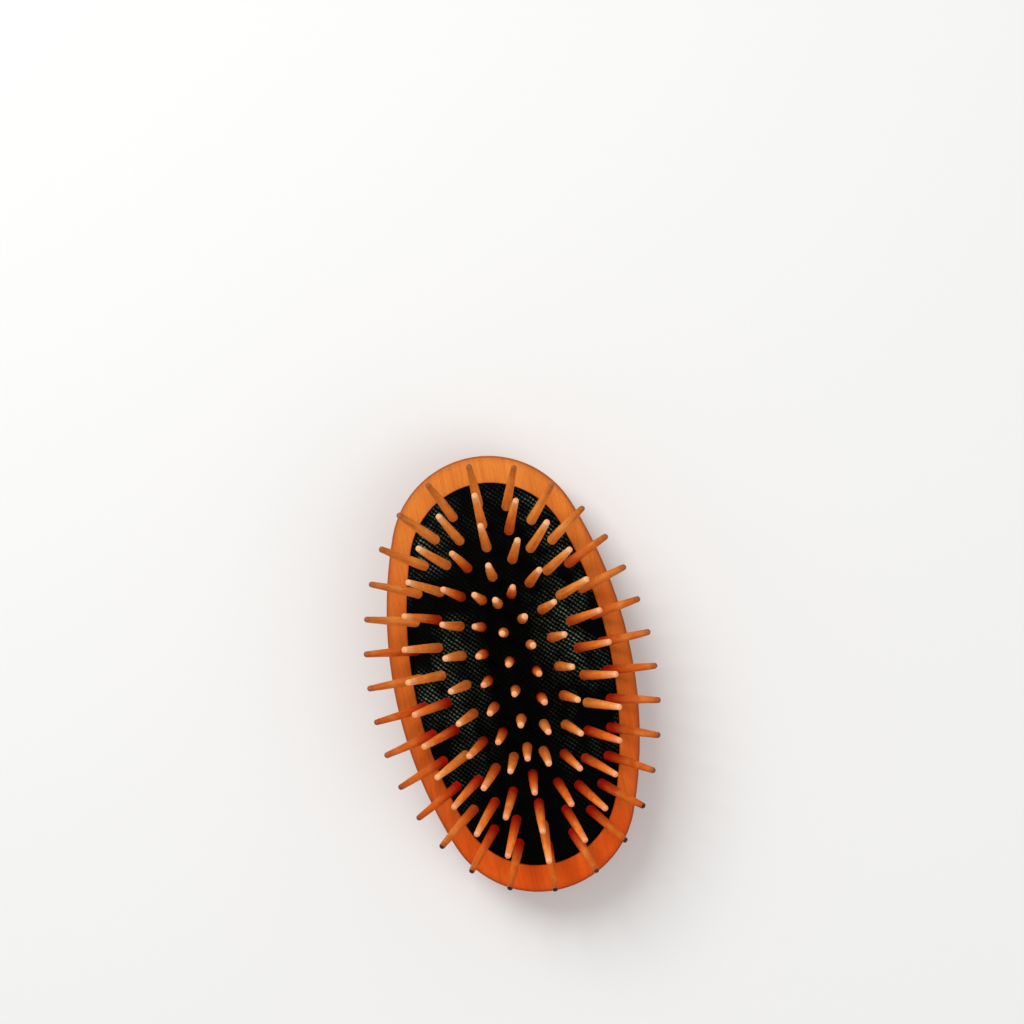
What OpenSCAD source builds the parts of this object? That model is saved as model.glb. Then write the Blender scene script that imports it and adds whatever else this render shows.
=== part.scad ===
// Oval grooming brush for a horse: turned wooden pins in a domed, cloth-faced rubber cushion,
// which is set in the recess of a wooden block that fits the palm.
// Millimetres. X runs along the brush, +Z points out of the pin side, and the block's flat
// back rests on z = 0 with its middle at the origin.

/* [Wooden block] */
// Length of the block
block_length = 145; // [140:1:160]
// Width of the block
block_width = 79; // [78:1:90]
// Radius of the block's outline at its two ends
block_end_radius = 32; // [28:1:34]
// Thickness of the block from its back to the face of the rim
block_height = 20; // [20:0.5:26]
// How far in from the outline the rounding of the back reaches
back_round_reach = 26; // [20:1:28]
// How high the rounding of the back rises
back_round_height = 15; // [12:0.5:16]
// Radius that softens the outer edge of the rim
rim_edge_radius = 1.2; // [0.6:0.1:2]

/* [Opening and recess] */
// Length of the opening in the rim
opening_length = 127; // [124:0.5:129]
// Width of the opening in the rim
opening_width = 65.5; // [64:0.5:67]
// Radius of the opening's outline at its two ends
opening_end_radius = 26.5; // [25:0.5:29]
// Depth of the recess under the face of the rim
recess_depth = 12; // [11:0.5:13]
// Thickness of the lip that holds the cushion's bead
lip_height = 3; // [2.5:0.1:4]
// How far the groove runs under the lip
groove_reach = 3; // [2:0.1:3.2]
// Height of the groove
groove_height = 3; // [2.5:0.1:3.5]

/* [Cushion] */
// Height of the dome's top over the face of the rim
dome_height = 9.5; // [9:0.5:10.5]
// Full length of the ellipsoid that the dome is cut from
dome_length = 140; // [138:1:144]
// Full width of the ellipsoid that the dome is cut from
dome_width = 73; // [72:0.5:75]
// Half height of the ellipsoid that the dome is cut from
dome_half_height = 15; // [14:0.5:17]
// Thickness of the woven facing
fabric_thickness = 0.6; // [0.4:0.1:0.8]
// Thickness of the rubber sheet under the facing
rubber_thickness = 1.8; // [1.5:0.1:2.2]

/* [Pins] */
// Length of a pin over the cushion
pin_length = 23; // [18:0.5:24]
// Diameter of a pin where it leaves the cushion
pin_root_diameter = 3.3; // [2.8:0.1:3.6]
// Diameter of a pin's round tip
pin_tip_diameter = 2; // [1.6:0.1:2.6]
// Diameter of the head that holds a pin behind the rubber
pin_head_diameter = 4.2; // [3.8:0.1:4.6]
// Thickness of that head
pin_head_thickness = 1.6; // [1.2:0.1:2]
// Outward lean of the outer ring's pins at the two ends of the brush, in degrees
end_lean = 34.5; // [20:0.5:38]
// Outward lean of the outer ring's pins at the two sides of the brush, in degrees
side_lean = 45; // [20:0.5:46]
// How the lean grows from the middle outwards: the power of a pin's distance from the middle
lean_growth = 2.3; // [2:0.1:3]

/* [Pin layout] */
// Outer ring of pins: length, width, number of pins (an even number)
outer_ring = [113.5, 60.5, 30];
// Second ring of pins
second_ring = [99.5, 45.5, 26];
// Third ring of pins
third_ring = [85, 30.5, 20];
// Fourth ring of pins
fourth_ring = [65.5, 16, 16];
// Number of pins in the straight row along the middle (an even number)
middle_row_count = 6; // [2:2:6]
// Spacing of the pins in the middle row
middle_row_pitch = 9.5; // [8.5:0.1:9.6]

/* [Hidden] */
$fn = 96;
pin_facets = 32;
back_round_steps = 16;
rim_edge_steps = 6;
// Running clearance round a pin, and round the cushion in the block
pin_clearance = 0.06;
cushion_clearance = 0.1;
// Gap that keeps the bonded facing and rubber apart as solids
bond_gap = 0.03;
// How far the facing tucks down inside the opening, stopping short of the groove
facing_tuck = lip_height - 0.2;
// How far a pin's head sits behind the cushion's surface, along the pin
head_offset = 3.5;
// Length of a pin hole's cutter outside and inside the cushion's surface
hole_outside = 2.2;
hole_inside = 5;
rings = [outer_ring, second_ring, third_ring, fourth_ring];
ring_names = ["outer_ring_pins_", "second_ring_pins_", "third_ring_pins_", "fourth_ring_pins_"];
middle_row_name = "middle_row_pins_";
dome_centre_z = block_height + dome_height - dome_half_height;
groove_top = block_height - lip_height;
groove_floor = groove_top - groove_height;
cushion_thickness = fabric_thickness + bond_gap + rubber_thickness;
tall = 60;

function two_digits(n) = str(n < 10 ? "0" : "", n);
function pair_names(prefix, pins) = [for (pair = [1:pins / 2]) str(prefix, two_digits(pair))];

// Oval outlines: two end arcs joined by two flatter side arcs, tangent where they meet

// Radius of the side arcs of an oval
function side_radius(length, width, end_radius) =
    let (a = length / 2 - end_radius, b = width / 2)
    (a * a + b * b - end_radius * end_radius) / (2 * (b - end_radius));

// Turns the 2D children about Z and keeps the sector within half_side / half_along of the X axis
module turned_arc(radius, half_along, half_side, inner_radius) {
    intersection() {
        rotate([0, 0, 180]) rotate_extrude()
            intersection() {
                translate([radius, 0]) children();
                translate([inner_radius, -tall]) square([radius + tall, 2 * tall]);
            }
        translate([0, 0, -tall]) linear_extrude(2 * tall)
            polygon([[0, 0], [2 * half_along, -2 * half_side], [2 * half_along, 2 * half_side]]);
    }
}

// Sweeps the 2D children round an oval: their x = 0 follows the outline and negative x is inside
module oval_sweep(length, width, end_radius) {
    side = side_radius(length, width, end_radius);
    end_centre = length / 2 - end_radius;
    side_centre = side - width / 2;
    for (end = [0, 180]) rotate([0, 0, end])
        translate([end_centre, 0, 0])
            turned_arc(end_radius, end_centre, side_centre, 0) children();
    for (flank = [90, 270]) rotate([0, 0, flank])
        translate([-side_centre, 0, 0])
            turned_arc(side, side_centre, end_centre, side_centre - 1) children();
}

// Upright oval slab from z = low to z = high, grown outwards by grow
module oval_slab(length, width, end_radius, low, high, grow = 0) {
    oval_sweep(length + 2 * grow, width + 2 * grow, end_radius + grow)
        translate([-width, low]) square([width, high - low]);
}

module opening_slab(low, high, grow = 0) {
    oval_slab(opening_length, opening_width, opening_end_radius, low, high, grow);
}

// What a quarter ellipse, reach by rise, takes off the lower outer corner of a swept section
function corner_cut(reach, rise, steps) = concat([[1, rise], [1, -1], [-reach, -1]],
    [for (step = [0:steps]) [reach * (sin(90 * step / steps) - 1), rise * (1 - cos(90 * step / steps))]]);

// Pin layout

function ellipse_point(size, angle) = [size[0] / 2 * cos(angle), size[1] / 2 * sin(angle)];

// Pairs of [distance walked, angle] round an ellipse, every two degrees
function walk_table(size, step = 2) = [
    for (angle = 0, walked = 0; angle <= 360;
         walked = walked + norm(ellipse_point(size, angle + step) - ellipse_point(size, angle)),
         angle = angle + step)
    [walked, angle]];

// Roots of a ring's pins, evenly spaced round its ellipse from the +X end
function ring_roots(ring) =
    let (walk = walk_table(ring), lap = walk[len(walk) - 1][0])
    [for (pin = [0:ring[2] - 1]) ellipse_point(ring, lookup(lap * pin / ring[2], walk))];

middle_row_roots = [for (pin = [0:middle_row_count - 1])
    [(pin - (middle_row_count - 1) / 2) * middle_row_pitch, 0]];
roots = [for (ring = rings) each [ring_roots(ring)], middle_row_roots];
all_roots = [for (group = roots) each group];

// Height of the cushion's surface over a point
function dome_z(x, y) = dome_centre_z
    + dome_half_height * sqrt(1 - pow(2 * x / dome_length, 2) - pow(2 * y / dome_width, 2));

// Outward lean of a pin as a slope, from nothing in the middle to the full lean at the outer ring
function lean_slope(root) =
    let (along = 2 * root[0] / outer_ring[0], across = 2 * root[1] / outer_ring[1])
    pow(norm([along, across]), lean_growth - 1) * [tan(end_lean) * along, tan(side_lean) * across];

// Puts the children at a pin's root, with their Z axis along the pin
module at_root(root) {
    slope = lean_slope(root);
    translate([root[0], root[1], dome_z(root[0], root[1])])
        rotate([0, atan(norm(slope)), atan2(slope[1], slope[0])]) children();
}

// Cushion

// The ellipsoid that the dome is cut from, lowered by drop
module dome_body(drop = 0) {
    translate([0, 0, dome_centre_z - drop])
        scale([dome_length / 2, dome_width / 2, dome_half_height]) sphere(r = 1);
}

module pin_holes() {
    for (root = all_roots) at_root(root)
        translate([0, 0, -hole_inside])
            cylinder(d = pin_root_diameter + 2 * pin_clearance, h = hole_inside + hole_outside,
                $fn = pin_facets);
}

// A cap of the dome that fills the opening above low, set in by inset and lowered by drop
module cushion_cap(low, inset, drop) {
    intersection() {
        opening_slab(low, tall, -inset);
        dome_body(drop);
    }
}

// Sub-parts

module wooden_block() {
    color("#d9793a")
    difference() {
        oval_sweep(block_length, block_width, block_end_radius)
            difference() {
                translate([-block_width, 0]) square([block_width, block_height]);
                polygon(corner_cut(back_round_reach, back_round_height, back_round_steps));
                translate([0, block_height]) mirror([0, 1])
                    polygon(corner_cut(rim_edge_radius, rim_edge_radius, rim_edge_steps));
            }
        opening_slab(block_height - recess_depth, tall);
        opening_slab(groove_floor, groove_top, groove_reach);
    }
}

// Rubber sheet with a skirt down the wall of the opening and a bead that fills the groove
module rubber_cushion() {
    facing = cushion_clearance + fabric_thickness + bond_gap;
    inside = facing + rubber_thickness;
    color("#1b1b1d")
    difference() {
        union() {
            cushion_cap(groove_floor + cushion_clearance, facing, fabric_thickness + bond_gap);
            opening_slab(groove_floor + cushion_clearance, groove_top - cushion_clearance,
                groove_reach - cushion_clearance);
        }
        cushion_cap(groove_floor - 1, inside, cushion_thickness);
        pin_holes();
    }
}

// Woven cloth bonded over the rubber, tucked down inside the opening
module fabric_facing() {
    low = block_height - facing_tuck;
    color("#10140f")
    difference() {
        cushion_cap(low, cushion_clearance, 0);
        cushion_cap(low - 1, cushion_clearance + fabric_thickness, fabric_thickness);
        pin_holes();
    }
}

// One turned pin along Z: z = 0 is at the cushion's surface, the head is behind it
module pin() {
    tip_radius = pin_tip_diameter / 2;
    translate([0, 0, -head_offset])
        cylinder(d = pin_root_diameter, h = head_offset, $fn = pin_facets);
    cylinder(d1 = pin_root_diameter, d2 = pin_tip_diameter, h = pin_length - tip_radius,
        $fn = pin_facets);
    translate([0, 0, pin_length - tip_radius]) sphere(r = tip_radius, $fn = pin_facets);
    translate([0, 0, -head_offset - pin_head_thickness])
        cylinder(d1 = pin_root_diameter, d2 = pin_head_diameter, h = pin_head_thickness,
            $fn = pin_facets);
}

// Two neighbouring pins of a group
module pin_pair(group, pair) {
    color("#e08a4c")
    for (pin = [0, 1]) at_root(roots[group][2 * (pair - 1) + pin]) pin();
}

wooden_block();
rubber_cushion();
fabric_facing();
for (ring = [0:3]) for (pair = [1:rings[ring][2] / 2])
    pin_pair(ring, pair);
for (pair = [1:middle_row_count / 2])
    pin_pair(4, pair);
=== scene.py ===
import math
import random

import bpy
import numpy as np
from mathutils import Matrix, Vector, noise
from mathutils.geometry import delaunay_2d_cdt


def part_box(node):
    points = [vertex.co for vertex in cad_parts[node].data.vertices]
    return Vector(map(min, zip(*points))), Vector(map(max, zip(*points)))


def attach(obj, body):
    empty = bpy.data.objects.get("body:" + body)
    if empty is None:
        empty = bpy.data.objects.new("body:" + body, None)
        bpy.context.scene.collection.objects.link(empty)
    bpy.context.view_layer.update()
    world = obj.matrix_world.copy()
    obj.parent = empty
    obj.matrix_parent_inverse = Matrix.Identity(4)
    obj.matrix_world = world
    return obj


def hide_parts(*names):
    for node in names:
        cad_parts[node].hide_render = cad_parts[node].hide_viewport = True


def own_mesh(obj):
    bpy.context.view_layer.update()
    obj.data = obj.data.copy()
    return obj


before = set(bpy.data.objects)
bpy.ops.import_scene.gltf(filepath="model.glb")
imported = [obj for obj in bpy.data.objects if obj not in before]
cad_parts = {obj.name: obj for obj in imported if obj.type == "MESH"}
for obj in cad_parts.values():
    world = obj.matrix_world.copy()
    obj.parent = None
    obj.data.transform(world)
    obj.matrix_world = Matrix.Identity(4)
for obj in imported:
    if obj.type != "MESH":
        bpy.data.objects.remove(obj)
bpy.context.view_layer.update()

# An oval wooden pin brush: the looks of every CAD node, in the CAD's own frame

MM = 0.001

# ---------------------------------------------------------------- Sizes, as the CAD has them, in mm

block_low, block_high = (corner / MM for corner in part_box("wooden_block"))
block_length, block_width, block_height = block_high - block_low
block_end_radius = 32
back_round_reach = 26
back_round_height = 15
rim_edge_radius = 1.2
opening_length = 127
opening_width = 65.5
opening_end_radius = 26.5
recess_floor = block_height - 12
groove_top = block_height - 3
groove_floor = groove_top - 3
groove_reach = 3
cushion_clearance = 0.1
dome_length = 140
dome_width = 73
dome_half_height = 15
dome_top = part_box("fabric_facing")[1].z / MM
dome_centre = dome_top - dome_half_height
pin_length = 23
pin_root_radius = 1.65
pin_tip_radius = 1.0
pin_head_radius = 2.1
end_lean = math.radians(34.5)
side_lean = math.radians(45)
lean_growth = 2.3
# Length, width and number of pins of each ring
rings = {
    "outer_ring_pins": (113.5, 60.5, 30),
    "second_ring_pins": (99.5, 45.5, 26),
    "third_ring_pins": (85, 30.5, 20),
    "fourth_ring_pins": (65.5, 16, 16),
}
middle_row_count = 6
middle_row_pitch = 9.5

# ---------------------------------------------------------------- Sizes that only the looks have, in mm

# Rounding of the opening's edge, where the recess meets the rim
lip_edge_radius = 0.45
# Points round a pin, and round each ring of points that a sheet has about a pin
pin_sides = 24
collar_sides = 20
# How far a sheet's collar reaches out from a pin, and how near a pin has to be to touch a sheet
collar_spread = 0.85
pin_reach = 8
# Height of a row of equal-sided triangles, as a share of their side
triangle_height = 0.866
# How much turned and hand-set pins differ: their bend, thickness, grooves and lumps
pin_bow = 0.12
pin_thickness_share = 0.03
pin_groove_depth = 0.018
pin_lump_depth = 0.05
# Heights between which a pin's surface is uneven
uneven_from, uneven_to = 0.5, 21

random.seed(7)


# ---------------------------------------------------------------- Four-arc ovals

class Oval:
    """Two end arcs joined by two flatter side arcs. A point is named by the angle of its normal."""

    def __init__(self, length, width, end_radius):
        self.end_radius = end_radius
        self.end_centre = length / 2 - end_radius
        reach = self.end_centre**2 + (width / 2) ** 2 - end_radius**2
        self.side_radius = reach / (width - 2 * end_radius)
        self.side_centre = self.side_radius - width / 2
        self.join = math.atan2(self.side_centre, self.end_centre)

    def point(self, angle, grow=0.0):
        """The outline's point whose normal has this angle, moved out by grow."""
        across, up = math.cos(angle), math.sin(angle)
        if abs(math.atan2(abs(up), abs(across))) <= self.join:
            centre = (math.copysign(self.end_centre, across), 0)
            radius = self.end_radius
        else:
            centre = (0, -math.copysign(self.side_centre, up))
            radius = self.side_radius
        return centre[0] + (radius + grow) * across, centre[1] + (radius + grow) * up

    def inset(self, x, y):
        """How far inside the outline a point is."""
        x, y = abs(x), abs(y)
        if x > self.end_centre and math.atan2(y, x - self.end_centre) <= self.join:
            return self.end_radius - math.hypot(x - self.end_centre, y)
        return self.side_radius - math.hypot(x, y + self.side_centre)


def station_angles(oval, spacing):
    """Normal angles round an oval, about spacing apart along its outline."""
    arcs = ((0, oval.join, oval.end_radius), (oval.join, math.pi / 2, oval.side_radius))
    quarter = []
    for start, stop, radius in arcs:
        steps = max(4, round((stop - start) * radius / spacing))
        quarter += [start + (stop - start) * step / steps for step in range(steps)]
    half = quarter + [math.pi / 2] + [math.pi - angle for angle in reversed(quarter[1:])]
    return half + [math.pi + angle for angle in half]


block_oval = Oval(block_length, block_width, block_end_radius)
opening_oval = Oval(opening_length, opening_width, opening_end_radius)


# ---------------------------------------------------------------- Making meshes

def quarter_turns(steps):
    """Angles of a quarter circle, from 0 to a right angle."""
    return [math.pi / 2 * step / steps for step in range(steps + 1)]


def made(name, vertices, faces, body, sharp_degrees=40):
    """A smooth-shaded mesh object from millimetres, riding on a body."""
    mesh = bpy.data.meshes.new(name)
    mesh.from_pydata([Vector(v) * MM for v in vertices], [], faces)
    mesh.update()
    mesh.shade_smooth()
    if sharp_degrees:
        mesh.set_sharp_from_angle(angle=math.radians(sharp_degrees))
    obj = bpy.data.objects.new(name, mesh)
    bpy.context.scene.collection.objects.link(obj)
    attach(obj, body)
    return obj


def band(below, above):
    """Quads between two closed loops of vertex numbers."""
    count = len(below)
    return [
        (below[i], below[(i + 1) % count], above[(i + 1) % count], above[i])
        for i in range(count)
    ]


def loft(loops, closed=False):
    """Vertices and quads through loops of equal length; closed joins the last to the first."""
    count = len(loops[0])
    numbers = [range(row * count, (row + 1) * count) for row in range(len(loops))]
    neighbours = list(zip(numbers, numbers[1:]))
    if closed:
        neighbours.append((numbers[-1], numbers[0]))
    vertices = [point for loop in loops for point in loop]
    return vertices, [face for below, above in neighbours for face in band(below, above)]


def store(obj, name, values, kind="FLOAT"):
    """Keeps one value for each vertex, for the materials to read."""
    attribute = obj.data.attributes.new(name, kind, "POINT")
    if kind == "FLOAT":
        attribute.data.foreach_set("value", np.array(values, np.float32))
    else:
        attribute.data.foreach_set("vector", np.array(values, np.float32).ravel())


# ---------------------------------------------------------------- Wooden block

def outer_profile():
    """(oval, growth, height) from the flat of the back, up the outside and over the rim's edge."""
    profile = []
    for turn in quarter_turns(32):
        inwards = back_round_reach * (1 - math.sin(turn))
        profile.append((block_oval, -inwards, back_round_height * (1 - math.cos(turn))))
    edge_start = block_height - rim_edge_radius
    for height in np.linspace(back_round_height, edge_start, 5)[1:]:
        profile.append((block_oval, 0.0, height))
    for turn in quarter_turns(7)[1:]:
        inwards = rim_edge_radius * (1 - math.cos(turn))
        profile.append((block_oval, -inwards, edge_start + rim_edge_radius * math.sin(turn)))
    return profile


def recess_profile():
    """(oval, growth, height) from the lip's rounded edge, past the groove to the recess's floor."""
    profile = []
    for turn in quarter_turns(5):
        grow, drop = lip_edge_radius * (1 - math.sin(turn)), lip_edge_radius * (1 - math.cos(turn))
        profile.append((opening_oval, grow, block_height - drop))
    for grow, z in (
        (0, groove_top), (groove_reach, groove_top), (groove_reach, groove_floor),
        (0, groove_floor), (0, recess_floor),
    ):
        profile.append((opening_oval, grow, z))
    return profile


def block_loops(angles):
    """Loops from the middle of the back, up the outside, over the rim and down into the recess."""
    def swept(profile):
        return [[(*oval.point(a, grow), z) for a in angles] for oval, grow, z in profile]

    outer = [block_oval.point(a, -rim_edge_radius) for a in angles]
    inner = [opening_oval.point(a, lip_edge_radius) for a in angles]
    rim = [
        [
            (o[0] + (i[0] - o[0]) * share, o[1] + (i[1] - o[1]) * share, block_height)
            for o, i in zip(outer, inner)
        ]
        for share in np.linspace(0, 1, 7)[1:-1]
    ]
    return swept(outer_profile()) + rim + swept(recess_profile())


def painted_shade_at(x, y, z):
    """How much painted shade darkens the block at a point: most at the rim's outer edge and in the
    recess, less down the sides and back.
    """
    rim_depth, rim_reach, side_fade, recess_slack = 0.2, 1.6, 4, 0.5
    if z > block_height - rim_depth:
        return max(0.0, 1 - block_oval.inset(x, y) / rim_reach)
    if z > recess_floor - recess_slack:
        if opening_oval.inset(x, y) > -groove_reach - recess_slack:
            return 1.0
    return 1 - 0.7 * min(1.0, (block_height - rim_depth - z) / side_fade)


def wooden_block():
    """The block, with its back and the recess's floor closed by shrinking loops and a last face."""
    angles = station_angles(block_oval, spacing=0.9)
    loops = block_loops(angles)
    count = len(angles)
    vertices, faces = loft(loops)
    for edge, outward in ((0, True), (len(loops) - 1, False)):
        ring = range(edge * count, (edge + 1) * count)
        for share in (0.8, 0.6, 0.4, 0.2):
            fresh = range(len(vertices), len(vertices) + count)
            vertices += [(x * share, y * share, z) for x, y, z in loops[edge]]
            faces += band(fresh, ring) if outward else band(ring, fresh)
            ring = fresh
        faces.append(tuple(reversed(ring)) if outward else tuple(ring))
    block = made("turned_block", vertices, faces, "block")
    # The edge attribute is painted shade: at the rim's outer edge, in the recess, and less down the
    # sides
    store(block, "edge", [painted_shade_at(*v.co / MM) for v in block.data.vertices])
    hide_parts("wooden_block")
    return block


# ---------------------------------------------------------------- Dome and where the pins stand

def dome_z(x, y):
    """Height of the dome's surface."""
    left = 1 - (2 * x / dome_length) ** 2 - (2 * y / dome_width) ** 2
    return dome_centre + dome_half_height * math.sqrt(max(0, left))


def ring_roots(length, width, count):
    """Points evenly spaced round an ellipse, from its +X end."""
    turns = np.radians(np.arange(0, 361, 2))
    line = np.stack([length / 2 * np.cos(turns), width / 2 * np.sin(turns)], 1)
    walked = np.concatenate([[0], np.cumsum(np.linalg.norm(np.diff(line, axis=0), axis=1))])
    at = np.interp(np.arange(count) * walked[-1] / count, walked, turns)
    return [(length / 2 * math.cos(t), width / 2 * math.sin(t)) for t in at]


def middle_row_roots():
    middle = (middle_row_count - 1) / 2
    return [((i - middle) * middle_row_pitch, 0) for i in range(middle_row_count)]


def lean(root):
    """Unit vector along a pin, which leans outwards more the further it is from the middle."""
    length, width, _ = rings["outer_ring_pins"]
    along, across = 2 * root[0] / length, 2 * root[1] / width
    reach = math.hypot(along, across) ** (lean_growth - 1)
    slope_x, slope_y = reach * math.tan(end_lean) * along, reach * math.tan(side_lean) * across
    return Vector((slope_x, slope_y, 1)).normalized()


def all_pins():
    """For each CAD node of pins, its two pins as (root, direction)."""
    groups = {name: ring_roots(*ring) for name, ring in rings.items()}
    groups["middle_row_pins"] = middle_row_roots()
    pairs = {}
    for name, roots in groups.items():
        for pair in range(len(roots) // 2):
            pairs[f"{name}_{pair + 1:02d}"] = [
                (Vector((*root, dome_z(*root))), lean(root))
                for root in roots[2 * pair:2 * pair + 2]
            ]
    return pairs


pins = all_pins()
pin_list = [pin for pair in pins.values() for pin in pair]


def perpendicular(direction):
    """Two unit vectors square to a direction and to each other."""
    across = direction.orthogonal().normalized()
    return across, direction.cross(across)


def near_pins(place):
    """The pins that can touch a sheet at a place."""
    return [
        (root, direction) for root, direction in pin_list
        if abs(place.x - root.x) < pin_reach and abs(place.y - root.y) < pin_reach
    ]


def from_axis(place, root, direction):
    """How far a place is from a pin's axis."""
    return (place - root).cross(direction).length


# ---------------------------------------------------------------- Sheets stretched over the dome

def on_dome(start, direction, drop):
    """Where the line meets the dome lowered by drop, near start."""
    half = np.array([dome_length / 2, dome_width / 2, dome_half_height])
    p = (np.array(start) - np.array([0, 0, dome_centre - drop])) / half
    d = np.array(direction) / half
    a, b, c = d @ d, p @ d, p @ p - 1
    return Vector(start) + direction * ((-b + math.sqrt(max(0, b * b - a * c))) / a)


def collar_points(root, direction, radii, drop):
    """Rings of points about a pin, seen from above, each turned half a step from the last."""
    u, v = perpendicular(direction)
    points = []
    for row, radius in enumerate(radii):
        for k in range(collar_sides):
            turn = 2 * math.pi * (k + 0.5 * (row % 2)) / collar_sides
            start = root + (u * math.cos(turn) + v * math.sin(turn)) * radius
            p = on_dome(start, direction, drop)
            points.append((p.x, p.y))
    return points


def filling_points(pitch, inset, drop, collar_radius):
    """A grid of triangles inside the opening, clear of its edge and of the pins' collars."""
    edge_gap, collar_gap = 0.6 * pitch, 0.45 * pitch
    points = []
    rows = int(opening_width / 2 / (pitch * triangle_height)) + 1
    columns = int(opening_length / 2 / pitch) + 1
    for row in range(-rows, rows + 1):
        for column in range(-columns, columns + 1):
            x = (column + 0.5 * (row % 2)) * pitch
            y = row * pitch * triangle_height
            if opening_oval.inset(x, y) < inset + edge_gap:
                continue
            p = Vector((x, y, dome_z(x, y) - drop))
            if all(from_axis(p, *pin) > collar_radius + collar_gap for pin in near_pins(p)):
                points.append((x, y))
    return points


def sheet_point(x, y, inset, drop, shoulder, low):
    """A point of a sheet that follows the dome and turns down to low at the opening's edge."""
    z = dome_z(x, y) - drop
    near = opening_oval.inset(x, y) - inset
    if near < shoulder:
        share = min(1, max(0, 1 - near / shoulder))
        z -= (z - low) * (1 - math.sqrt(max(0, 1 - share * share)))
    return Vector((x, y, z))


def collar_lift(distance, height):
    """How far the sheet is pushed up the pin at this distance from the pin's axis."""
    return height * math.exp(-(max(distance - pin_root_radius, 0) / collar_spread) ** 2)


def stretched_sheet(name, *, pitch, inset, drop, radii, collar, shoulder, edge_z, tuck, ripple):
    """A triangulated sheet over the dome, with a hole and a collar for each pin.

    pitch is the mesh's, inset the gap to the opening's wall and drop the depth under the dome;
    radii are the rings of points about a pin, and collar is how far the sheet climbs it; the sheet
    turns down over the width of shoulder to edge_z, and is tucked down the wall to tuck.
    """
    flat = [opening_oval.point(a, -inset) for a in station_angles(opening_oval, pitch)]
    rim_count = len(flat)
    edges = [(i, (i + 1) % rim_count) for i in range(rim_count)]
    for root, direction in pin_list:
        first = len(flat)
        flat += collar_points(root, direction, radii, drop)
        edges += [(first + k, first + (k + 1) % collar_sides) for k in range(collar_sides)]
    flat += filling_points(pitch, inset, drop, radii[-1])
    out, _, triangles, *_ = delaunay_2d_cdt([Vector(p) for p in flat], edges, [], 0, 1e-6)

    vertices = []
    for p in out:
        point = sheet_point(p.x, p.y, inset, drop, shoulder, edge_z)
        move = Vector((0, 0, ripple * noise.noise(Vector((p.x, p.y, 3.1)) * 0.16)))
        for root, direction in near_pins(p):
            move += direction * collar_lift(from_axis(point, root, direction), collar)
        vertices.append(point + move)

    # A little under the first ring's radius, because its chords pass inside it
    hole = radii[0] * 0.985
    faces = []
    for t in triangles:
        middle = (out[t[0]] + out[t[1]] + out[t[2]]) / 3
        p = Vector((middle.x, middle.y, dome_z(middle.x, middle.y) - drop))
        if not any(from_axis(p, *pin) < hole for pin in near_pins(p)):
            faces.append(tuple(t))

    # The edge tucked down the wall of the opening
    last = range(rim_count)
    for z in np.linspace(edge_z, tuck, 5)[1:]:
        fresh = range(len(vertices), len(vertices) + rim_count)
        vertices += [Vector((vertices[i].x, vertices[i].y, z)) for i in range(rim_count)]
        for i in range(rim_count):
            j = (i + 1) % rim_count
            faces.append((last[i], fresh[i], fresh[j], last[j]))
        last = fresh
    return made(name, vertices, faces, "block", sharp_degrees=None)


def thickened(obj, thickness):
    """Gives a sheet its thickness, on the side away from its face."""
    solidify = obj.modifiers.new("thickness", "SOLIDIFY")
    solidify.thickness = thickness * MM
    solidify.offset = -1
    solidify.use_rim = True
    solidify.use_even_offset = False
    graph = bpy.context.evaluated_depsgraph_get()
    mesh = bpy.data.meshes.new_from_object(obj.evaluated_get(graph))
    obj.modifiers.clear()
    obj.data = mesh


def pressed(obj):
    """Gives the object a mesh of its own."""
    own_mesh(obj)


def fabric_facing():
    """The cloth, stretched over the dome and given its thickness; cut flat, it is an oval that fills
    0.86 of its rectangle.
    """
    cloth = stretched_sheet(
        "woven_facing", pitch=0.75, inset=0.12, drop=0, radii=(1.15, 1.45, 1.7, 2.0, 2.45, 3.0),
        collar=0.42, shoulder=2.6, edge_z=block_height - 1, tuck=groove_top + 0.3, ripple=0.12,
    )
    thickened(cloth, 0.45)
    pressed(cloth)
    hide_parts("fabric_facing")
    return cloth


def bead_section():
    """(growth, height) round the bead that fills the groove, with small chamfers."""
    low, high = groove_floor + cushion_clearance, groove_top - cushion_clearance
    reach = groove_reach - cushion_clearance
    chamfer, inner, skirt = 0.1, -2.4, -0.75
    return (
        (inner, low + chamfer), (inner, low), (reach - chamfer, low), (reach, low + chamfer),
        (reach, high - chamfer), (reach - chamfer, high), (skirt, high), (inner, low + 1),
    )


def rubber_cushion():
    """The rubber dome under the cloth, and the bead in the block's groove."""
    dome = stretched_sheet(
        "rubber_dome", pitch=2.4, inset=0.7, drop=0.65, radii=(1.6, 2.4),
        collar=0, shoulder=2.6, edge_z=groove_top + 0.2, tuck=groove_floor + 1.2, ripple=0,
    )
    thickened(dome, 1.7)
    pressed(dome)
    angles = station_angles(opening_oval, spacing=1.6)
    loops = [[(*opening_oval.point(a, grow), z) for a in angles] for grow, z in bead_section()]
    vertices, faces = loft(loops, closed=True)
    bead = made("rubber_bead", vertices, faces, "block")
    for piece in (dome, bead):
        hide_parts("rubber_cushion")
    return dome, bead


# ---------------------------------------------------------------- Pins

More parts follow.
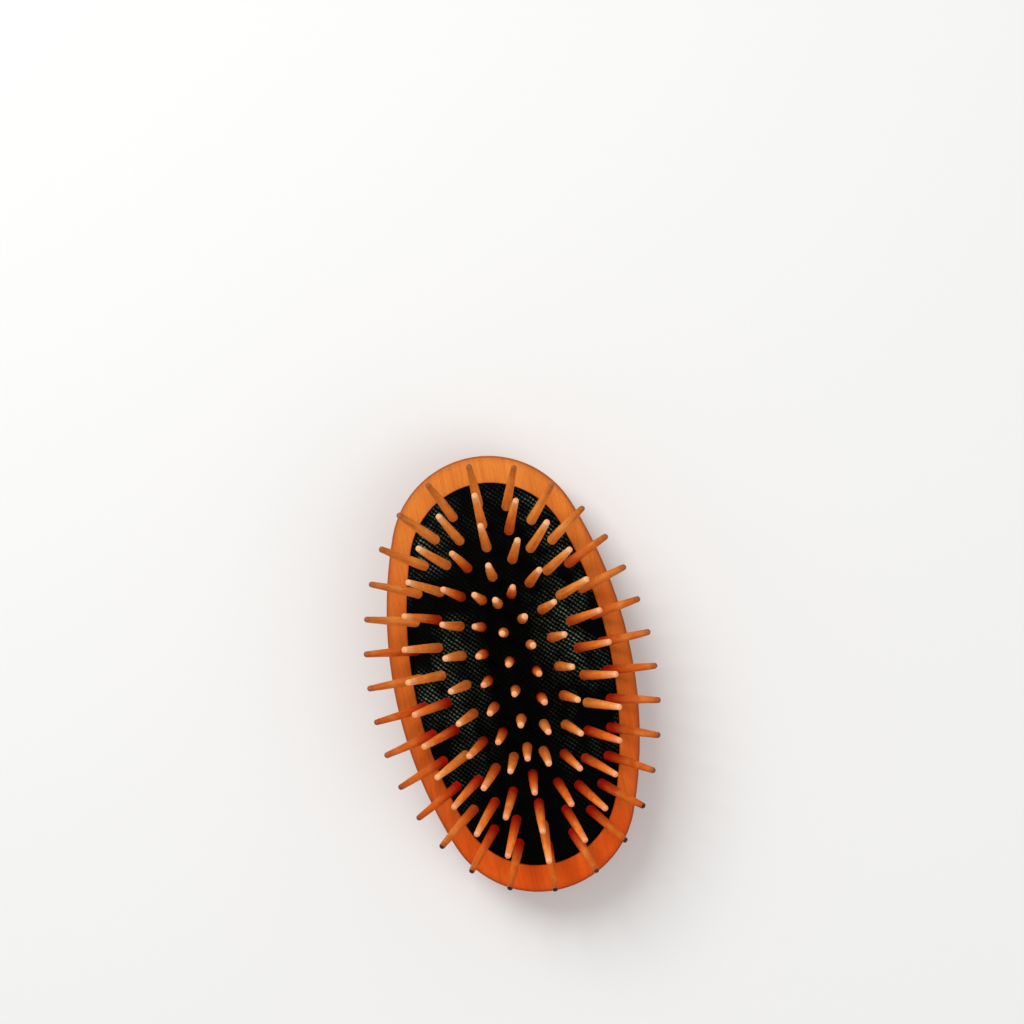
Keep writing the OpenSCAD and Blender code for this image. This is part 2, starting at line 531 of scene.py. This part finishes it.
def pin_profile():
    """(height, radius) up a turned pin, from its head behind the rubber to its round tip."""
    profile = [
        (-5.1, 0.0), (-5.1, 1.75), (-4.95, 2.0), (-4.8, pin_head_radius), (-4.5, 2.0), (-3.6, 1.7),
        (-3.4, pin_root_radius), (-2, pin_root_radius), (-0.6, pin_root_radius),
        (0.2, pin_root_radius),
    ]
    top = pin_length - pin_tip_radius
    taper_steps, swell = 14, 0.06
    for step in range(1, taper_steps + 1):
        share = step / taper_steps
        straight = pin_root_radius + (pin_tip_radius - pin_root_radius) * share
        profile.append((share * top, straight + swell * math.sin(math.pi * share)))
    for turn in quarter_turns(7)[1:]:
        profile.append((top + pin_tip_radius * math.sin(turn), pin_tip_radius * math.cos(turn)))
    return profile


def turned_pins(name, pair):
    """The pins of one CAD node as one piece, each a little different, as hand-set pins are."""
    profile = pin_profile()
    vertices, faces = [], []
    grain, along, tone, painted_tip_shade = [], [], [], []
    for root, direction in pair:
        u, v = perpendicular(direction)
        bow = Vector((random.uniform(-pin_bow, pin_bow), random.uniform(-pin_bow, pin_bow)))
        thick = random.uniform(1 - pin_thickness_share, 1 + pin_thickness_share)
        grooves = [random.uniform(-pin_groove_depth, pin_groove_depth) for _ in range(pin_sides)]
        place = Vector((random.uniform(0, 90), random.uniform(0, 90), random.uniform(0, 90)))
        # Redder towards the -X end, where the outer pins' tips get the most painted shade
        shade = min(1, max(0, 0.45 - root.x / 130 + random.uniform(-0.45, 0.45)))
        # Painted shade at the outer pins' tips, more towards the -X end
        tip_shade_amount = 0
        if name.startswith("outer"):
            tip_shade_amount = max(0.2, min(1, -root.x / 60 * random.uniform(0.8, 1.4)))
        loops = []
        for height, radius in profile:
            share = max(0, height) / pin_length
            bend = math.sin(math.pi * share)
            loop = []
            for k in range(pin_sides):
                turn = 2 * math.pi * k / pin_sides
                wide = max(0, radius * (thick if height > uneven_from else 1))
                if uneven_from < height < uneven_to:
                    lump = noise.noise(place + Vector((0, 0, 0.4 * height)))
                    wide += grooves[k] + pin_lump_depth * lump
                x = wide * math.cos(turn) + bow.x * bend
                y = wide * math.sin(turn) + bow.y * bend
                loop.append(root + u * x + v * y + direction * height)
                grain.append(place + Vector((x, y, height)))
                along.append(share)
                tone.append(shade)
                painted_tip_shade.append(tip_shade_amount)
            loops.append(loop)
        first = len(vertices)
        pin_vertices, pin_faces = loft(loops)
        vertices += pin_vertices
        faces += [tuple(first + i for i in face) for face in pin_faces]
    piece = made("turned_" + name, vertices, faces, name, sharp_degrees=50)
    store(piece, "grain_at", grain, "FLOAT_VECTOR")
    store(piece, "along", along)
    store(piece, "tone", tone)
    store(piece, "painted_tip_shade", painted_tip_shade)
    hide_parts(name)
    return piece


# ---------------------------------------------------------------- Shader nodes

def feed(tree, socket, value):
    """Links an input to a socket, or sets it to a value."""
    if isinstance(value, bpy.types.NodeSocket):
        tree.links.new(value, socket)
    else:
        socket.default_value = value


def add(tree, kind, inputs, **settings):
    """A shader node with its settings and its inputs."""
    fresh = tree.nodes.new("ShaderNode" + kind)
    for key, value in settings.items():
        setattr(fresh, key, value)
    for key, value in inputs.items():
        feed(tree, fresh.inputs[key], value)
    return fresh


def material(name):
    """A new material, its node tree and its surface shader."""
    made_material = bpy.data.materials.new(name)
    made_material.use_nodes = True
    tree = made_material.node_tree
    tree.nodes.clear()
    surface = add(tree, "BsdfPrincipled", {})
    add(tree, "OutputMaterial", {"Surface": surface.outputs[0]})
    return made_material, tree, surface


def dressed(tree, surface, colour, roughness, relief, strength, depth):
    """Connects a surface's colour, roughness and bump; depth is in millimetres."""
    feed(tree, surface.inputs["Base Color"], colour)
    feed(tree, surface.inputs["Roughness"], roughness)
    bump = add(tree, "Bump", {"Height": relief, "Strength": strength, "Distance": depth * MM})
    feed(tree, surface.inputs["Normal"], bump.outputs[0])


def rgb(red, green, blue):
    """A colour of 0 to 255 sRGB values as linear ones."""
    linear = []
    for value in (red, green, blue):
        share = value / 255
        linear.append(share / 12.92 if value <= 10 else ((share + 0.055) / 1.055) ** 2.4)
    return (*linear, 1)


def scaled(tree, place, scale):
    return add(tree, "Mapping", {"Vector": place, "Scale": scale}).outputs[0]


def place_in_mm(tree):
    """The object's own coordinates, in millimetres."""
    per_metre = 1 / MM
    position = add(tree, "TexCoord", {}).outputs["Object"]
    return scaled(tree, position, (per_metre, per_metre, per_metre))


def texture(tree, place, scale, detail=4.0, rough=0.5, distort=0.0):
    """Noise over a place in millimetres; scale is its waves a millimetre along each axis."""
    return add(tree, "TexNoise", {
        "Vector": scaled(tree, place, scale), "Scale": 1.0, "Detail": detail, "Roughness": rough,
        "Distortion": distort,
    }).outputs["Fac"]


def threads(tree, place, direction, scale):
    """Parallel threads, from 0 between them to 1 on top; a scale of 0.26 sets them 1.2 mm apart."""
    return add(tree, "TexWave", {"Vector": place, "Scale": scale}, wave_type="BANDS",
               bands_direction=direction, wave_profile="SIN").outputs["Fac"]


def spread(tree, value, low, high, to_low=0.0, to_high=1.0):
    """A value taken from the range low to high into another range."""
    return add(tree, "MapRange", {
        "Value": value, "From Min": low, "From Max": high, "To Min": to_low, "To Max": to_high,
    }).outputs[0]


def mixed(tree, share, first, second):
    """The first colour with a share of the second."""
    fresh = add(tree, "Mix", {0: share, 6: first, 7: second}, data_type="RGBA")
    return fresh.outputs[2]


def layered(tree, colour, layers):
    """A colour with each (share, colour) laid over it in turn."""
    for share, over in layers:
        colour = mixed(tree, share, colour, over)
    return colour


def maths(tree, operation, *values):
    return add(tree, "Math", dict(enumerate(values)), operation=operation).outputs[0]


def product(tree, first, *others):
    for other in others:
        first = maths(tree, "MULTIPLY", first, other)
    return first


def vector_maths(tree, operation, inputs):
    return add(tree, "VectorMath", inputs, operation=operation).outputs[0]


def read(tree, name, output="Fac"):
    """What store() kept under a name."""
    return add(tree, "Attribute", {}, attribute_name=name).outputs[output]


# ---------------------------------------------------------------- Materials

def block_wood():
    """Stained close-grained wood, its grain along the brush, redder towards the -X end."""
    made_material, tree, surface = material("stained_wood")
    place = place_in_mm(tree)
    along = add(tree, "SeparateXYZ", {0: place}).outputs[0]
    grain = texture(tree, place, (0.016, 0.16, 0.16), detail=5, rough=0.55, distort=0.6)
    lines = texture(tree, place, (0.02, 0.75, 0.75), rough=0.6, distort=0.3)
    streaks = texture(tree, place, (0.05, 2.2, 2.2), detail=3)
    flecks = texture(tree, place, (0.45, 4.5, 4.5), detail=2)
    patches = texture(tree, place, (0.05, 0.07, 0.07), detail=3)
    fleck = spread(tree, flecks, 0.6, 0.7, 0, 0.4)

    amber, vermilion, straw, rust = (
        rgb(206, 103, 28), rgb(226, 82, 2), rgb(218, 130, 50), rgb(172, 66, 10)
    )
    honey, line_brown, streak_brown, fleck_brown, edge_shade_brown = (
        rgb(222, 122, 42), rgb(156, 56, 10), rgb(150, 56, 10), rgb(126, 46, 12), rgb(124, 44, 12)
    )
    colour = layered(tree, amber, [
        (spread(tree, along, -62, -5, 1, 0), vermilion),
        (spread(tree, along, 15, 66), straw),
        (spread(tree, grain, 0.35, 0.7, 0, 0.3), rust),
        (spread(tree, patches, 0.45, 0.7, 0, 0.35), honey),
        (spread(tree, lines, 0.46, 0.62, 0, 0.2), line_brown),
        (spread(tree, streaks, 0.48, 0.75, 0, 0.2), streak_brown),
        (fleck, fleck_brown),
        # Painted shade from the edge attribute
        (product(tree, read(tree, "edge"), 0.7), edge_shade_brown),
    ])
    relief = maths(tree, "SUBTRACT", product(tree, streaks, 0.5), fleck)
    roughness = spread(tree, streaks, 0.2, 0.8, 0.42, 0.6)
    dressed(tree, surface, colour, roughness, relief, strength=0.3, depth=0.08)
    surface.inputs["Specular IOR Level"].default_value = 0.1
    return made_material


def pin_wood():
    """Stained wood of the turned pins: golden or red by its tone, and redder at the root, partly stain
    and partly painted shade where the pin meets the cloth.

    The outer ring's pins carry painted shade that deepens towards their tips and is darkest at the tip
    ends; the others' tips carry a pale painted highlight.
    """
    made_material, tree, surface = material("turned_wood")
    place = read(tree, "grain_at", "Vector")
    tone, along, painted_tip_shade = (read(tree, name) for name in ("tone", "along", "painted_tip_shade"))
    grain = texture(tree, place, (1.3, 1.3, 0.09), detail=5, rough=0.6)
    fibres = texture(tree, place, (5, 5, 0.3), detail=2)
    blotches = texture(tree, place, (0.35, 0.35, 0.22), detail=2)

    near_root = spread(tree, along, 0.1, 0.68, 1, 0)
    on_outer = spread(tree, painted_tip_shade, 0, 0.05)
    on_inner = maths(tree, "SUBTRACT", 1, on_outer)
    # Painted highlight towards the inner pins' tips
    tip_highlight = product(tree, spread(tree, along, 0.74, 0.97), spread(tree, tone, 0, 1, 0.56, 0.32))

    golden, orange, rust, honey = (
        rgb(238, 150, 62), rgb(230, 110, 26), rgb(184, 66, 12), rgb(246, 172, 88)
    )
    root_red_and_shade, far_shade_brown, pale, tip_ring = (
        rgb(168, 26, 8), rgb(140, 54, 14), rgb(248, 202, 156), rgb(190, 92, 44)
    )
    tip_shade_brown, tip_shade_black, fibre_brown = rgb(112, 48, 20), rgb(24, 8, 5), rgb(130, 44, 10)
    colour = layered(tree, golden, [
        (tone, orange),
        (spread(tree, grain, 0.42, 0.7, 0, 0.5), rust),
        (spread(tree, blotches, 0.45, 0.7, 0, 0.5), honey),
        # Redder towards the root: partly stain, partly painted shade where the pin meets the cloth
        (product(tree, near_root, spread(tree, tone, 0.15, 0.75, 0.12, 1)), root_red_and_shade),
        # Painted shade on the far half of the outer ring's pins
        (product(tree, spread(tree, along, 0.35, 0.85, 0, 0.5), on_outer), far_shade_brown),
        # Painted highlight on the inner pins' tips
        (product(tree, tip_highlight, on_inner), pale),
        (spread(tree, along, 0.975, 0.998, 0, 0.35), tip_ring),
        # Painted shade near the outer pins' tips, and a painted near-black shadow at their very ends
        (product(tree, spread(tree, along, 0.9, 0.97, 0, 0.45), on_outer), tip_shade_brown),
        (product(tree, spread(tree, along, 0.97, 0.988), painted_tip_shade), tip_shade_black),
        (spread(tree, fibres, 0.6, 0.75, 0, 0.3), fibre_brown),
    ])
    roughness = spread(tree, grain, 0.2, 0.8, 0.4, 0.55)
    dressed(tree, surface, colour, roughness, fibres, strength=0.3, depth=0.06)
    surface.inputs["Specular IOR Level"].default_value = 0.1
    surface.inputs["Coat Weight"].default_value = 0.28
    surface.inputs["Coat Roughness"].default_value = 0.18
    return made_material


def woven_cloth():
    """Black cloth with two sets of threads at 45 degrees to the brush, with a painted green-grey sheen
    on the threads.
    """
    made_material, tree, surface = material("black_cloth")
    place = place_in_mm(tree)
    wander = add(tree, "TexNoise", {"Vector": place, "Scale": 0.3, "Detail": 2.0}).outputs["Color"]
    wander = vector_maths(tree, "SUBTRACT", {0: wander, 1: (0.5, 0.5, 0.5)})
    wander = vector_maths(tree, "SCALE", {0: wander, "Scale": 0.8})
    wavy = vector_maths(tree, "ADD", {0: place, 1: wander})
    bias = (0, 0, math.radians(45))
    turned = add(tree, "Mapping", {"Vector": wavy, "Rotation": bias}).outputs[0]
    crossing = spread(tree, threads(tree, turned, "Y", 0.27), 0, 1, 0.4, 1)
    thread = product(tree, threads(tree, turned, "X", 0.26), crossing)

    # Painted sheen, most at the sides and at the +X end, and hardly any in the middle
    elsewhere = vector_maths(tree, "ADD", {0: place, 1: (0, 0, 40)})
    patches = texture(tree, elsewhere, (0.05, 0.06, 0.05), detail=2)
    sheen_mottle = texture(tree, place, (0.22, 0.22, 0.22), detail=3)
    sheen_specks = texture(tree, place, (1.6, 1.6, 1.6), detail=2)
    x, y, _ = add(tree, "SeparateXYZ", {0: place}).outputs
    sides = spread(tree, maths(tree, "ABSOLUTE", y), 7, 22, 0.01, 1)
    flank = maths(tree, "MAXIMUM", sides, spread(tree, x, 25, 58, 0, 0.2))
    sheen_share = product(
        tree, spread(tree, patches, 0.44, 0.6), spread(tree, sheen_mottle, 0.36, 0.62, 0.15, 1),
        flank, spread(tree, x, -40, 10, 0.1, 1),
    )
    lit = product(
        tree, spread(tree, thread, 0.3, 0.85), spread(tree, sheen_share, 0, 1, 0.01, 1),
        spread(tree, sheen_specks, 0.4, 0.62, 0.35, 1),
    )
    # Painted green-grey sheen on the threads where lit, over black
    colour = mixed(tree, lit, rgb(4, 4, 4), rgb(124, 148, 124))
    dressed(tree, surface, colour, 0.85, thread, strength=0.7, depth=0.18)
    surface.inputs["Specular IOR Level"].default_value = 0.01
    return made_material


def black_rubber():
    """Matt black rubber with a faint moulded grain."""
    made_material, tree, surface = material("black_rubber")
    pits = texture(tree, place_in_mm(tree), (1.2, 1.2, 1.2))
    colour = mixed(tree, spread(tree, pits, 0.3, 0.7), rgb(16, 16, 18), rgb(34, 34, 36))
    roughness = spread(tree, pits, 0.3, 0.7, 0.5, 0.7)
    dressed(tree, surface, colour, roughness, pits, strength=0.3, depth=0.1)
    return made_material


def pale_floor():
    made_material, _, surface = material("pale_floor")
    surface.inputs["Base Color"].default_value = (0.72, 0.72, 0.71, 1)
    surface.inputs["Roughness"].default_value = 0.9
    return made_material


# ---------------------------------------------------------------- Building

block = wooden_block()
block.data.materials.append(block_wood())
cloth = fabric_facing()
cloth.data.materials.append(woven_cloth())
rubber = black_rubber()
for piece in rubber_cushion():
    piece.data.materials.append(rubber)
wood = pin_wood()
for node_name, pair in pins.items():
    turned_pins(node_name, pair).data.materials.append(wood)


# ---------------------------------------------------------------- Floor, light and camera, in metres

def area_light(name, place, size, power):
    """A round soft light that shines on the brush."""
    light = bpy.data.lights.new(name, "AREA")
    light.shape = "DISK"
    light.size = size
    light.energy = power
    obj = bpy.data.objects.new(name, light)
    obj.location = place
    to_brush = Vector((0, 0, 0.02)) - Vector(place)
    obj.rotation_euler = to_brush.to_track_quat("-Z", "Y").to_euler()
    bpy.context.scene.collection.objects.link(obj)


def studio_floor():
    """A wide pale floor a hair under the brush."""
    reach, level = 4, -0.0002
    corners = [(-reach, -reach), (reach, -reach), (reach, reach), (-reach, reach)]
    mesh = bpy.data.meshes.new("floor")
    mesh.from_pydata([(x, y, level) for x, y in corners], [], [(0, 1, 2, 3)])
    mesh.materials.append(pale_floor())
    obj = bpy.data.objects.new("floor", mesh)
    bpy.context.scene.collection.objects.link(obj)
    return obj


def studio_world():
    """Even white light from all round."""
    world = bpy.data.worlds.new("studio")
    world.use_nodes = True
    background = world.node_tree.nodes["Background"]
    background.inputs["Color"].default_value = (1, 1, 1, 1)
    background.inputs["Strength"].default_value = 0.6
    return world


def photo_camera():
    """Nearly straight above the brush, with its +X end up the picture and leaning left."""
    camera_data = bpy.data.cameras.new("camera")
    camera_data.sensor_width = 36
    camera_data.lens = 112.6
    camera = bpy.data.objects.new("camera", camera_data)
    eye = Vector((0.0529, -0.0283, 1.0712))
    aim = Vector((0.0522, -0.0103, 0.020))
    roll = math.radians(11.55)
    back = (eye - aim).normalized()
    up = Vector((math.cos(roll), -math.sin(roll), 0))
    up = (up - back * up.dot(back)).normalized()
    side = up.cross(back)
    rows = [(side[k], up[k], back[k], eye[k]) for k in range(3)]
    camera.matrix_world = Matrix(rows + [(0, 0, 0, 1)])
    bpy.context.scene.collection.objects.link(camera)
    return camera


floor = studio_floor()
area_light("key", (0.8, 0.42, 1.05), size=0.7, power=13)
area_light("fill", (-0.5, -0.6, 1.0), size=1.0, power=4)
scene = bpy.context.scene
scene.world = studio_world()
scene.view_settings.view_transform = "Standard"
scene.camera = photo_camera()
